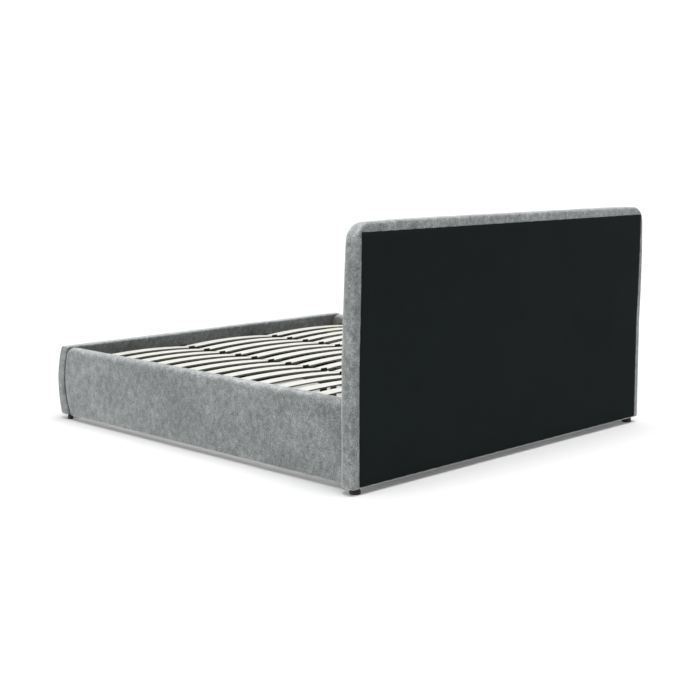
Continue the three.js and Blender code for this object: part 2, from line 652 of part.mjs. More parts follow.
for (const [name, side] of Object.entries(SIDES)) {
  const headFoot = glideFoot(HEAD_FOOT_RADIUS);
  headFoot.translate(side * HEAD_FOOT_X, HEAD_BACK_Y - HEAD_FOOT_FROM_BACK, 0);
  add(`corner_foot_head_${name}`, headFoot, blackPlastic);
  const endFoot = glideFoot(END_FOOT_RADIUS);
  endFoot.translate(side * END_FOOT_X, BULGE_Y + END_FOOT_FROM_BULGE, 0);
  add(`corner_foot_foot_${name}`, endFoot, blackPlastic);
}

// ---------------------------------------------------------------- slats and their caps

const slatFirstY = BULGE_Y + SLAT_FIRST_FROM_BULGE;
const slatOuterX = RAIL_INNER_X - SLAT_END_INSET;
const columns = [
  [-slatOuterX, -COLUMN_BOUNDARY_X - COLUMN_HALF_GAP],
  [-COLUMN_BOUNDARY_X + COLUMN_HALF_GAP, COLUMN_BOUNDARY_X - COLUMN_HALF_GAP],
  [COLUMN_BOUNDARY_X + COLUMN_HALF_GAP, slatOuterX],
];

// Three bowed slats end to end, tied by a thin tongue inside each pair of caps
function slatRowOutline() {
  const under = [];
  const over = [];
  for (const [x0, x1] of columns) {
    for (let step = 0; step <= SLAT_ARC_STEPS; step += 1) {
      const share = step / SLAT_ARC_STEPS;
      const x = x0 + (x1 - x0) * share;
      const z = SLAT_END_UNDERSIDE + 4 * SLAT_CAMBER * share * (1 - share);
      under.push([x, z]);
      over.push([x, z + SLAT_THICKNESS]);
    }
    if (x1 < slatOuterX) {
      const nextX = x1 + 2 * COLUMN_HALF_GAP;
      const tongueBottom = SLAT_END_UNDERSIDE + TONGUE_RECESS;
      const tongueTop = SLAT_END_UNDERSIDE + SLAT_THICKNESS - TONGUE_RECESS;
      under.push([x1, tongueBottom], [nextX, tongueBottom]);
      over.push([x1, tongueTop], [nextX, tongueTop]);
    }
  }
  return outline([...under, ...over.reverse()]);
}

// A row of cradles on a thin strip, one cradle a slat, seen from the side
function capOutline() {
  const floor = LEDGE_TOP + GAP;
  const strip = floor + CAP_WALL;
  const seat = SLAT_END_UNDERSIDE - GAP;
  const half = SLAT_WIDTH / 2 + GAP;
  const points = [];
  for (let row = 0; row < SLAT_ROWS; row += 1) {
    const y = slatFirstY + row * SLAT_PITCH;
    points.push(
      [y - half - CAP_WALL, strip], [y - half - CAP_WALL, CAP_TOP], [y - half, CAP_TOP], [y - half, seat],
      [y + half, seat], [y + half, CAP_TOP], [y + half + CAP_WALL, CAP_TOP], [y + half + CAP_WALL, strip],
    );
  }
  const first = points[0][0];
  const last = points[points.length - 1][0];
  return outline([[first, floor], ...points, [last, floor]]);
}

for (let row = 0; row < SLAT_ROWS; row += 1) {
  const y = slatFirstY + row * SLAT_PITCH;
  const number = String(row + 1).padStart(2, "0");
  const slats = extrudeAlongY(slatRowOutline(), y - SLAT_WIDTH / 2, y + SLAT_WIDTH / 2);
  add(`slat_row_${number}`, slats, slatWood);
}
for (const [name, side] of Object.entries(SIDES)) {
  const railCap = side * (slatOuterX + CAP_OVERHANG - CAP_LENGTH / 2);
  add(`slat_caps_rail_${name}`, extrudeAlongX(
    capOutline(), railCap - CAP_LENGTH / 2, railCap + CAP_LENGTH / 2,
  ), blackPlastic);
  const beamCap = side * COLUMN_BOUNDARY_X;
  add(`slat_caps_beam_${name}`, extrudeAlongX(
    capOutline(), beamCap - BEAM_WIDTH / 2, beamCap + BEAM_WIDTH / 2,
  ), blackPlastic);
}

export default bed;
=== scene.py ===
import math

import bpy
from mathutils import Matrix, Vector, noise


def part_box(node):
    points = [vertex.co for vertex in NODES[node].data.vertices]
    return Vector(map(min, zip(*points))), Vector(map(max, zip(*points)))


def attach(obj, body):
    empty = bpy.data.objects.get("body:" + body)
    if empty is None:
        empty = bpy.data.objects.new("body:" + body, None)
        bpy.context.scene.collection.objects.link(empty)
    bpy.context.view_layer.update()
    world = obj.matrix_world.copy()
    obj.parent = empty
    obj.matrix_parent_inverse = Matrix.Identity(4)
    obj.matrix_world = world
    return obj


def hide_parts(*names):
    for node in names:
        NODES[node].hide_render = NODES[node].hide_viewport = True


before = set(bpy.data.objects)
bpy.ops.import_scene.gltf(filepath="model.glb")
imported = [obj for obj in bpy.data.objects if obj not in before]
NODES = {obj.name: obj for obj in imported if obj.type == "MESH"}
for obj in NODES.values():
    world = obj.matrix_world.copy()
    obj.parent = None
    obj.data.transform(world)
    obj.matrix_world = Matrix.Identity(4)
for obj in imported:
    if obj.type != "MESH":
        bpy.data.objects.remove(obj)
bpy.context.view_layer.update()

# ---------------------------------------------------------------- driving values, in metres

SIDES = {"left": -1, "right": 1}
GOLDEN = 0.6180339887

# Padding: how far the cloth simulation may push each cover, and what its start shape gives back
HEADBOARD_SWELL = 0.005
RAIL_SWELL = 0.0035
FOOTBOARD_SWELL = 0.0035
START_GIVE = 0.0005
SWELL_PRESSURE = 4.0
SWELL_FRAMES = 20
SWELL_QUALITY = 4
SWELL_MASS = 0.3
SWELL_STIFFNESS = 12.0
SWELL_BENDING = 2.0

# Mesh density: spaces along and up each ring, and steps round each of its corners
HEADBOARD_MESH = (100, 52, 8)
RAIL_MESH = (3, 22, 6)
SLAT_MESH = (4, 1, 4)
BAR_MESH = (1, 1, 4)
PEG_MESH = (2, 4, 4)
HEADBOARD_BACK_STEPS = 6
HEADBOARD_FRONT_STEPS = 8
END_STEPS = 4
RAIL_LENGTHWISE = 116
FOOTBOARD_LENGTHWISE = 118
SLAT_LENGTHWISE = 30
CLOTH_MESH = (126, 65)
LINING_MESH = (60, 10)

# Unevenness of the foam: depth, scale, seed, with a finer part on top
RIPPLE_FINE_SHARE = 0.5
RIPPLE_FINE_SCALE = 2.3
HEADBOARD_RIPPLE = (0.0007, 6.0, 1)
RAIL_RIPPLE = (0.0006, 7.0, 3)
FOOTBOARD_RIPPLE = (0.0006, 6.0, 7)

# Headboard
HEADBOARD_CORNER = 0.070
HEADBOARD_FRONT_EDGE = 0.045
HEADBOARD_BACK_EDGE = 0.012
RECESS_DEPTH = 0.055
RECESS_HALF_WIDTH = 0.998
RECESS_BOTTOM = 0.046
RECESS_TOP = 1.052
RECESS_MOUTH = 0.003
RECESS_MOUTH_DROP = 0.2
RECESS_CORNER = 0.002
HEADBOARD_CROWN = 0.006
TOP_CROWN = 0.0075
TOP_CROWN_START = 0.95
TOP_CROWN_SQUARENESS = 8
SIDE_EASE_LOW = 0.007
SIDE_EASE_TOP = 0.009
SIDE_EASE_START = 0.50
SIDE_EASE_POWER = 2.5
CROWN_START = 0.42
CROWN_SQUARENESS = 4
CROWN_FULLNESS = 0.7
CROWN_BEHIND = 0.020
HEADBOARD_BOTTOM_EDGE = 0.012
LEAST_BOTTOM_EDGE = 0.004
LEAN_START = 0.520
STAPLED_AT_BACK = 0.0015
STAPLED_AT_FRONT = 0.003
STAPLED_ROUND_RECESS = 0.004
STAPLED_IN_RECESS = 0.002

# Black closing cloth on the back of the headboard and inside the footboard
CLOTH_GAP = 0.0006
CLOTH_THICKNESS = 0.0008
CLOTH_BILLOW = 0.0005
CLOTH_SCALLOP = 0.0012
CLOTH_TACK_PITCH = 0.075
CLOTH_SLACK_REACH = 0.05
CLOTH_BILLOW_ACROSS = 2.1
CLOTH_BILLOW_UP = 2.6
CLOTH_BILLOW_SEED = 4.2
LINING_TOP = 0.298
LINING_BOTTOM = 0.036
LINING_HALF_WIDTH = 0.934
LINING_GAP = 0.0002
LINING_THICKNESS = 0.0006

# Rails and footboard
LEAST_EDGE = 0.003
EDGE_CLEARANCE = 0.0005
TUCKED_BOTTOM = 0.004
TUCKED_HEAD_END = 0.004
TUCKED_RAIL_INSIDE = 0.003
TUCKED_FOOTBOARD_INSIDE = 0.002
TUCKED_ABOVE_LINING = 0.010
RAIL_TOP_EDGE = 0.026
RAIL_BOTTOM_EDGE = 0.010
RAIL_END_EDGE = 0.007
RAIL_FOOT_CORNER = 0.020
RAIL_END_GAP_TOP = 0.002
RAIL_END_GAP_BOTTOM = 0.011
FOOTBOARD_RADIUS = 0.432
FOOTBOARD_THICKNESS = 0.050
FOOTBOARD_ARC_Z = 0.198
FOOTBOARD_END_EDGE = 0.006
FOOTBOARD_CORNERS = (0.010, 0.014, 0.016, 0.012)
FOOTBOARD_FULLNESS = 0.003
FOOTBOARD_LOW_FULLNESS = 0.010
FOOTBOARD_TOP_FULLNESS = 0.0055

# How much the fabric colour is multiplied where it faces straight up: painted top light
PAINTED_TOP_LIGHT = 1.95

# Slats
SLAT_WIDTH = 0.070
SLAT_THICKNESS = 0.008
SLAT_CAMBER = 0.013
SLAT_EDGE = 0.0036
COLUMN_GAP = 0.003
SLAT_UNEVENNESS = 0.0012
CAP_WALL = 0.0030
CAP_STOP = 0.0026
CAP_PLAY = 0.0004
CAP_EDGE = 0.0008
CAP_FLOOR = 0.0026
CAP_SEAT = 0.0002
CAP_RISE = 0.0045
PEG_HALF_LENGTH = 0.011
PEG_HALF_WIDTH = 0.022
PEG_CORNER = 0.003
PEG_CHAMFER = 0.001
PEG_TAPER = 0.0012
PEG_BITE = 0.0004

# Corner feet: shares of the foot's height and radius
FOOT_TREAD_TOP = 0.58
FOOT_STEM_BOTTOM = 0.60
FOOT_STEM_RADIUS = 0.93
FOOT_TREAD_EDGE = 0.0025
FOOT_STEM_EDGE = 0.0012
FOOT_SEGMENTS = 56

# Legs under the middle beams
LEG_TUBE_RADIUS = 0.0175
LEG_PAD_RADIUS = 0.022
LEG_PAD_HEIGHT = 0.008
LEG_PAD_EDGE = 0.002
LEG_NECK_SHARE = 0.6
LEG_NECK_HEIGHT = 0.012
LEG_NECK_EDGE = 0.0005
LEG_TUBE_EDGE = 0.0012
LEG_PLATE_HEIGHT = 0.003
LEG_PLATE_EDGE = 0.0006
LEG_STEP = 0.0002
LEG_SEGMENTS = 48
SHARP_ANGLE = 38
BEVEL_ANGLE = 50

# View
VIEW_AZIMUTH = 134.612
VIEW_ELEVATION = 6.557
VIEW_DISTANCE = 6.714
VIEW_AIM = Vector((-0.0297, 0.0180, 0.6261))
VIEW_LENS = 67.24
VIEW_SHIFT = -0.0714
VIEW_SENSOR = 36
VIEW_REACH = 200

# Light
SURROUND = 1.03
CEILING = 0.12
WALL_TOP = 0.24
CEILING_START = 0.45
LAMP_DISTANCE = 8.0
FLOOR_HALF_SIZE = 60.0
FLOOR_GLOW = 0.07

# Lamps: azimuth, elevation, strength, and size in degrees
OVERHEAD_LAMP = (205, 82, 3.2, 48)
SIDE_LAMP = (80, 14, 1.45, 50)


def span(node):
    low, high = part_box(node)
    return Vector(low), Vector(high)


# ---------------------------------------------------------------- mesh helpers

def make_object(name, points, faces, smooth=True):
    mesh = bpy.data.meshes.new(name)
    mesh.from_pydata([tuple(p) for p in points], [], faces)
    mesh.validate()
    if smooth:
        mesh.shade_smooth()
    piece = bpy.data.objects.new(name, mesh)
    bpy.context.collection.objects.link(piece)
    return piece


def finish_piece(piece, material, slot, *nodes):
    piece.data.materials.clear()
    piece.data.materials.append(material)
    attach(piece, "root")
    if nodes:
        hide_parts(*nodes)


def arc(u, v, radius, start, turns, steps):
    """Points on a quarter-turn arc, start and turns in quarters, without its two end points."""
    points = []
    for step in range(1, steps):
        angle = (start + turns * step / steps) * math.pi / 2
        points.append((u + radius * math.cos(angle), v + radius * math.sin(angle)))
    return points


def rounded_ring(u0, u1, v0, v1, radii, along_u, along_v, steps=6):
    """A rectangle's outline with its own radius at each corner, anticlockwise from the lower left.
    radii are lower left, lower right, upper right, upper left. Every ring has the same count."""
    ll, lr, ur, ul = radii
    ring = []
    for i in range(along_u + 1):
        ring.append((u0 + ll + (u1 - lr - u0 - ll) * i / along_u, v0))
    ring += arc(u1 - lr, v0 + lr, lr, 3, 1, steps)
    for i in range(along_v + 1):
        ring.append((u1, v0 + lr + (v1 - ur - v0 - lr) * i / along_v))
    ring += arc(u1 - ur, v1 - ur, ur, 0, 1, steps)
    for i in range(along_u + 1):
        ring.append((u1 - ur - (u1 - ur - u0 - ul) * i / along_u, v1))
    ring += arc(u0 + ul, v1 - ul, ul, 1, 1, steps)
    for i in range(along_v + 1):
        ring.append((u0, v1 - ul - (v1 - ul - v0 - ll) * i / along_v))
    ring += arc(u0 + ll, v0 + ll, ll, 2, 1, steps)
    return ring


def loft(name, rings, along_u, along_v, steps=6):
    """A closed skin through rings of equal count, its two ends filled with even quads."""
    count = len(rings[0])
    points = [Vector(p) for ring in rings for p in ring]
    faces = []
    for level in range(len(rings) - 1):
        low, high = level * count, (level + 1) * count
        for i in range(count):
            j = (i + 1) % count
            faces.append((low + i, low + j, high + j, high + i))
    half = steps // 2
    wide, tall = along_u + 2 * half, along_v + 2 * half
    start = count - half
    for level, flip in ((0, True), (len(rings) - 1, False)):
        base = level * count

        def edge(k):
            return base + (start + k) % count

        grid = {}
        for i in range(wide + 1):
            grid[i, 0] = edge(i)
            grid[i, tall] = edge(2 * wide + tall - i)
        for j in range(tall + 1):
            grid[wide, j] = edge(wide + j)
            grid[0, j] = edge(2 * wide + 2 * tall - j) if j else edge(0)
        corners = [points[grid[c]] for c in ((0, 0), (wide, 0), (0, tall), (wide, tall))]
        for i in range(1, wide):
            for j in range(1, tall):
                a, b = i / wide, j / tall
                across = points[grid[0, j]] * (1 - a) + points[grid[wide, j]] * a
                along = points[grid[i, 0]] * (1 - b) + points[grid[i, tall]] * b
                flat = (
                    corners[0] * (1 - a) * (1 - b) + corners[1] * a * (1 - b)
                    + corners[2] * (1 - a) * b + corners[3] * a * b
                )
                grid[i, j] = len(points)
                points.append(across + along - flat)
        for i in range(wide):
            for j in range(tall):
                quad = (grid[i, j], grid[i + 1, j], grid[i + 1, j + 1], grid[i, j + 1])
                faces.append(quad[::-1] if flip else quad)
    return make_object(name, points, faces)


def swell(piece, cap, held=None):
    """Blows the skin up by cloth simulation and keeps the outward part, eased under the cap."""
    mesh = piece.data
    rest = [v.co.copy() for v in mesh.vertices]
    pins = piece.vertex_groups.new(name="held")
    pins.add([v.index for v in mesh.vertices if held and held(v.co)], 1.0, "REPLACE")
    cloth = piece.modifiers.new("padding", "CLOTH")
    settings = cloth.settings
    settings.quality = SWELL_QUALITY
    settings.mass = SWELL_MASS
    settings.tension_stiffness = SWELL_STIFFNESS
    settings.compression_stiffness = SWELL_STIFFNESS
    settings.bending_stiffness = SWELL_BENDING
    settings.use_pressure = True
    settings.uniform_pressure_force = SWELL_PRESSURE
    settings.effector_weights.gravity = 0
    settings.vertex_group_mass = pins.name
    cloth.collision_settings.use_collision = False
    cloth.point_cache.frame_start = 1
    cloth.point_cache.frame_end = SWELL_FRAMES
    scene = bpy.context.scene
    for step in range(1, SWELL_FRAMES + 1):
        scene.frame_set(step)
    swollen = piece.evaluated_get(bpy.context.evaluated_depsgraph_get()).to_mesh()
    ends = [v.co.copy() for v in swollen.vertices]
    outward = [v.normal.copy() for v in mesh.vertices]
    for vertex, start, end, normal in zip(mesh.vertices, rest, ends, outward):
        rise = max(0.0, (end - start).dot(normal))
        vertex.co = start + normal * (cap * rise / math.sqrt(cap * cap + rise * rise))
    piece.modifiers.remove(cloth)
    scene.frame_set(1)


def subdivide(piece, levels=1):
    modifier = piece.modifiers.new("smooth", "SUBSURF")
    modifier.levels = levels
    modifier.render_levels = levels
    modifier.boundary_smooth = "PRESERVE_CORNERS"
    evaluated = piece.evaluated_get(bpy.context.evaluated_depsgraph_get())
    mesh = bpy.data.meshes.new_from_object(evaluated)
    piece.modifiers.remove(modifier)
    piece.data = mesh
    mesh.shade_smooth()


def ripple(piece, depth, scale, seed, keep=None):
    """Slow unevenness of foam under taut cloth, along each point's normal."""
    offset = Vector((seed * 7.31, seed * 3.17, seed * 5.53))
    for vertex, normal in [(v, v.normal.copy()) for v in piece.data.vertices]:
        amount = noise.noise(vertex.co * scale + offset)
        amount += RIPPLE_FINE_SHARE * noise.noise(vertex.co * scale * RIPPLE_FINE_SCALE + offset)
        if keep:
            amount *= keep(vertex.co)
        vertex.co += normal * amount * depth


# ---------------------------------------------------------------- materials

def new_material(name):
    material = bpy.data.materials.new(name)
    material.use_nodes = True
    tree = material.node_tree
    tree.nodes.clear()
    output = tree.nodes.new("ShaderNodeOutputMaterial")
    shader = tree.nodes.new("ShaderNodeBsdfPrincipled")
    tree.links.new(shader.outputs["BSDF"], output.inputs["Surface"])
    return material, tree, shader


def coordinates(tree, scale=(1, 1, 1)):
    source = tree.nodes.new("ShaderNodeTexCoord")
    mapping = tree.nodes.new("ShaderNodeMapping")
    mapping.inputs["Scale"].default_value = scale
    tree.links.new(source.outputs["Object"], mapping.inputs["Vector"])
    return mapping.outputs["Vector"]


def surface_normal(tree, axis):
    """One component of the piece's own surface direction, from -1 to 1."""
    source = tree.nodes.new("ShaderNodeTexCoord")
    split = tree.nodes.new("ShaderNodeSeparateXYZ")
    tree.links.new(source.outputs["Normal"], split.inputs["Vector"])
    return split.outputs[axis]


def noise_value(tree, vector, scale, detail=2.0, roughness=0.5):
    made = tree.nodes.new("ShaderNodeTexNoise")
    made.inputs["Scale"].default_value = scale
    made.inputs["Detail"].default_value = detail
    made.inputs["Roughness"].default_value = roughness
    tree.links.new(vector, made.inputs["Vector"])
    return made.outputs["Fac"]


def ramp(tree, value, stops):
    made = tree.nodes.new("ShaderNodeValToRGB")
    elements = made.color_ramp.elements
    while len(elements) < len(stops):
        elements.new(0.5)
    for element, (position, color) in zip(elements, stops):
        element.position = position
        element.color = (*color, 1)
    tree.links.new(value, made.inputs["Fac"])
    return made.outputs["Color"]


def math_node(tree, operation, first, second):
    made = tree.nodes.new("ShaderNodeMath")
    made.operation = operation
    for socket, value in zip(made.inputs, (first, second)):
        if isinstance(value, (int, float)):
            socket.default_value = value
        else:
            tree.links.new(value, socket)
    return made.outputs["Value"]


def weighted(tree, *terms):
    """The sum of some values, each times its weight."""
    total = None
    for value, weight in terms:
        share = math_node(tree, "MULTIPLY", value, weight)
        total = share if total is None else math_node(tree, "ADD", total, share)
    return total


def mix_color(tree, factor, first, second, blend="MIX"):
    made = tree.nodes.new("ShaderNodeMix")
    made.data_type = "RGBA"
    made.blend_type = blend
    for socket, value in ((made.inputs[0], factor), (made.inputs[6], first), (made.inputs[7], second)):
        if isinstance(value, (int, float)):
            socket.default_value = value
        elif isinstance(value, tuple):
            socket.default_value = (*value, 1)
        else:
            tree.links.new(value, socket)
    return made.outputs[2]


def bump(tree, shader, height, strength, distance):
    made = tree.nodes.new("ShaderNodeBump")
    made.inputs["Strength"].default_value = strength
    made.inputs["Distance"].default_value = distance
    tree.links.new(height, made.inputs["Height"])
    tree.links.new(made.outputs["Normal"], shader.inputs["Normal"])


def grey_chenille():
    """Soft mottled chenille: short upright yarn tufts, light and dark flecks, slow nap shading, painted
    shade between the tufts and painted top light where the cloth faces up.
    """
    material, tree, shader = new_material("grey_chenille")
    upright = coordinates(tree, (1, 1, 0.92))
    even = coordinates(tree)
    slow = noise_value(tree, even, 5.5, 3, 0.55)
    nap = noise_value(tree, upright, 38, 3, 0.6)
    fleck = noise_value(tree, upright, 150, 2, 0.65)
    tuft = tree.nodes.new("ShaderNodeTexVoronoi")
    tuft.feature = "SMOOTH_F1"
    tuft.inputs["Scale"].default_value = 360
    tuft.inputs["Smoothness"].default_value = 0.4
    tree.links.new(upright, tuft.inputs["Vector"])
    blend = weighted(tree, (slow, 0.22), (nap, 0.32), (fleck, 0.46))
    color = ramp(tree, blend, [
        (0.37, (0.105, 0.112, 0.111)),
        (0.46, (0.190, 0.201, 0.199)),
        (0.53, (0.258, 0.271, 0.268)),
        (0.64, (0.420, 0.436, 0.432)),
    ])
    # painted shade: the colour is darkened in the valleys between yarn tufts, where shade falls
    valley_shade = ramp(tree, tuft.outputs["Distance"], [(0.15, (1, 1, 1)), (0.75, (0.55, 0.56, 0.57))])
    shaded = mix_color(tree, 0.75, color, valley_shade, "MULTIPLY")
    # painted top light: the colour is brightened by how far the surface faces up, not by a lamp
    top_lit = mix_color(tree, surface_normal(tree, "Z"), shaded, (PAINTED_TOP_LIGHT,) * 3, "MULTIPLY")
    tree.links.new(top_lit, shader.inputs["Base Color"])
    rough = math_node(tree, "ADD", math_node(tree, "MULTIPLY", nap, 0.12), 0.84)
    tree.links.new(rough, shader.inputs["Roughness"])
    shader.inputs["Specular IOR Level"].default_value = 0.2
    shader.inputs["Sheen Weight"].default_value = 0.9
    shader.inputs["Sheen Roughness"].default_value = 0.4
    shader.inputs["Sheen Tint"].default_value = (0.92, 0.96, 0.97, 1)
    pile = math_node(tree, "SUBTRACT", 1.0, tuft.outputs["Distance"])
    height = math_node(tree, "ADD", pile, math_node(tree, "MULTIPLY", nap, 1.4))
    bump(tree, shader, height, 0.55, 0.0012)
    return material


def black_cloth():
    """Thin black closing cloth: a fine plain weave with a faint cool cast and slow unevenness."""
    material, tree, shader = new_material("black_closing_cloth")
    even = coordinates(tree)
    threads = []
    for axis in ("X", "Z"):
        wave = tree.nodes.new("ShaderNodeTexWave")
        wave.wave_type = "BANDS"
        wave.bands_direction = axis
        wave.inputs["Scale"].default_value = 240
        wave.inputs["Distortion"].default_value = 0.6
        wave.inputs["Detail"].default_value = 1
        tree.links.new(even, wave.inputs["Vector"])
        threads.append(wave.outputs["Fac"])
    weave = math_node(tree, "MULTIPLY", threads[0], threads[1])
    cloud = noise_value(tree, even, 3.2, 3, 0.6)
    lint = noise_value(tree, even, 260, 1, 0.5)
    tone = weighted(tree, (cloud, 0.7), (lint, 0.3))
    color = ramp(tree, tone, [(0.35, (0.0073, 0.0102, 0.0107)), (0.65, (0.0089, 0.0123, 0.0129))])
    tree.links.new(color, shader.inputs["Base Color"])
    rough = math_node(tree, "ADD", math_node(tree, "MULTIPLY", weave, 0.1), 0.82)
    tree.links.new(rough, shader.inputs["Roughness"])
    shader.inputs["Specular IOR Level"].default_value = 0.06
    bump(tree, shader, weave, 0.35, 0.0004)
    return material


def slat_wood():
    """White-washed bent laminate: pale cream, faint grain along the slat, its long side faces darkened
    almost to black: partly the raw laminate edge's own darker tone, mostly painted shade of the gaps
    between slats.
    """
    material, tree, shader = new_material("white_washed_slat")
    along = coordinates(tree, (1.0, 14.0, 14.0))
    grain = noise_value(tree, along, 9, 4, 0.6)
    pores = noise_value(tree, coordinates(tree, (6, 160, 160)), 1.6, 2, 0.6)
    blend = weighted(tree, (grain, 0.7), (pores, 0.3))
    color = ramp(tree, blend, [
        (0.32, (0.62, 0.60, 0.53)), (0.48, (0.75, 0.75, 0.69)), (0.70, (0.81, 0.815, 0.765)),
    ])
    # painted shade: faces along the slat's width are multiplied toward near-black, far darker than a raw
    # laminate edge, to stand for the shade in the gaps between slats
    edge = math_node(tree, "ABSOLUTE", surface_normal(tree, "Y"), 0.0)
    side_shade = ramp(tree, edge, [(0.35, (1, 1, 1)), (0.9, (0.11, 0.104, 0.095))])
    tree.links.new(mix_color(tree, 1.0, color, side_shade, "MULTIPLY"), shader.inputs["Base Color"])
    rough = math_node(tree, "ADD", math_node(tree, "MULTIPLY", grain, 0.2), 0.38)
    tree.links.new(rough, shader.inputs["Roughness"])
    shader.inputs["Coat Weight"].default_value = 0.12
    shader.inputs["Coat Roughness"].default_value = 0.35
    bump(tree, shader, blend, 0.15, 0.0005)
    return material


def timber(name, stretch):
    """Planed softwood with its grain along the long side: stretch is small along that axis."""
    material, tree, shader = new_material(name)
    vector = coordinates(tree, stretch)
    rings = tree.nodes.new("ShaderNodeTexNoise")
    rings.inputs["Scale"].default_value = 5
    rings.inputs["Detail"].default_value = 5
    rings.inputs["Roughness"].default_value = 0.55
    rings.inputs["Distortion"].default_value = 0.6
    tree.links.new(vector, rings.inputs["Vector"])
    fine = noise_value(tree, vector, 34, 2, 0.6)
    blend = weighted(tree, (rings.outputs["Fac"], 0.75), (fine, 0.25))
    color = ramp(tree, blend, [
        (0.34, (0.36, 0.225, 0.115)), (0.47, (0.55, 0.385, 0.225)), (0.62, (0.66, 0.50, 0.32)),
    ])
    tree.links.new(color, shader.inputs["Base Color"])
    rough = math_node(tree, "ADD", math_node(tree, "MULTIPLY", fine, 0.25), 0.55)
    tree.links.new(rough, shader.inputs["Roughness"])
    bump(tree, shader, blend, 0.3, 0.0008)
    return material


def black_plastic():
    """Moulded black plastic with a fine spark-eroded texture."""
    material, tree, shader = new_material("moulded_black_plastic")
    even = coordinates(tree)
    grit = noise_value(tree, even, 1400, 2, 0.6)
    cloud = noise_value(tree, even, 40, 2, 0.5)
    color = ramp(tree, cloud, [(0.3, (0.0085, 0.0085, 0.009)), (0.7, (0.016, 0.016, 0.017))])
    tree.links.new(color, shader.inputs["Base Color"])
    rough = math_node(tree, "ADD", math_node(tree, "MULTIPLY", cloud, 0.15), 0.34)
    tree.links.new(rough, shader.inputs["Roughness"])
    shader.inputs["Specular IOR Level"].default_value = 0.3
    bump(tree, shader, grit, 0.12, 0.0002)
    return material


def powder_coat():
    """Black powder coat: slight orange peel over steel."""
    material, tree, shader = new_material("black_powder_coat")
    even = coordinates(tree)
    peel = noise_value(tree, even, 420, 2, 0.5)
    wear = noise_value(tree, even, 22, 3, 0.6)
    color = ramp(tree, wear, [(0.3, (0.013, 0.013, 0.014)), (0.7, (0.024, 0.024, 0.026))])
    tree.links.new(color, shader.inputs["Base Color"])
    rough = math_node(tree, "ADD", math_node(tree, "MULTIPLY", wear, 0.2), 0.34)
    tree.links.new(rough, shader.inputs["Roughness"])
    bump(tree, shader, peel, 0.25, 0.0003)
    return material


def zinc_plate():
    """Zinc-plated steel: bright, with a faint spangle."""
    material, tree, shader = new_material("zinc_plate")
    spangle = tree.nodes.new("ShaderNodeTexVoronoi")
    spangle.inputs["Scale"].default_value = 170
    tree.links.new(coordinates(tree), spangle.inputs["Vector"])
    color = ramp(tree, spangle.outputs["Distance"], [(0.0, (0.62, 0.64, 0.66)), (0.8, (0.48, 0.50, 0.53))])
    tree.links.new(color, shader.inputs["Base Color"])
    rough = math_node(tree, "ADD", math_node(tree, "MULTIPLY", spangle.outputs["Distance"], 0.2), 0.26)
    tree.links.new(rough, shader.inputs["Roughness"])
    shader.inputs["Metallic"].default_value = 1.0
    return material


CHENILLE = grey_chenille()
CLOTH = black_cloth()
SLAT = slat_wood()
PLASTIC = black_plastic()
COAT = powder_coat()
ZINC = zinc_plate()
TIMBER_X = timber("timber_across", (1.0, 16.0, 16.0))
TIMBER_Y = timber("timber_along", (16.0, 1.0, 16.0))
TIMBER_Z = timber("timber_upright", (16.0, 16.0, 1.0))


# ---------------------------------------------------------------- headboard

cover_low, cover_high = span("headboard_cover")
HEADBOARD_TOP = cover_high.z
HEADBOARD_BOTTOM = cover_low.z
HEADBOARD_HALF_WIDTH = cover_high.x
cloth_low, cloth_high = span("headboard_back_cloth")
HEADBOARD_BACK = cloth_low.y
HEADBOARD_LEAN = cover_high.y - HEADBOARD_BACK
HEADBOARD_FRONT = cover_low.y


def lean_at(z):
    part = max(0.0, z - LEAN_START) / (HEADBOARD_TOP - LEAN_START)
    return HEADBOARD_LEAN * math.sin(min(1.0, part) * math.pi / 2)


def rounding(radius, depth):
    """How far a rounded edge has drawn in at a depth inside its radius."""
    inside = min(max(depth, 0.0), radius)
    return radius - math.sqrt(radius * radius - inside * inside)


def side_ease(z):
    """The sides stand out a little low down and draw in toward the top."""
    rise = min(1.0, max(0.0, (z - SIDE_EASE_START) / (HEADBOARD_TOP - SIDE_EASE_START)))
    out = SIDE_EASE_LOW - (SIDE_EASE_LOW + SIDE_EASE_TOP) * rise ** SIDE_EASE_POWER
    return 1 + out / HEADBOARD_HALF_WIDTH


def top_crown(x, z):
    """The top edge bows up toward the middle."""
    rise = min(1.0, max(0.0, (z - TOP_CROWN_START) / (HEADBOARD_TOP - TOP_CROWN_START)))
    return TOP_CROWN * rise * (1 - (x / HEADBOARD_HALF_WIDTH) ** TOP_CROWN_SQUARENESS)


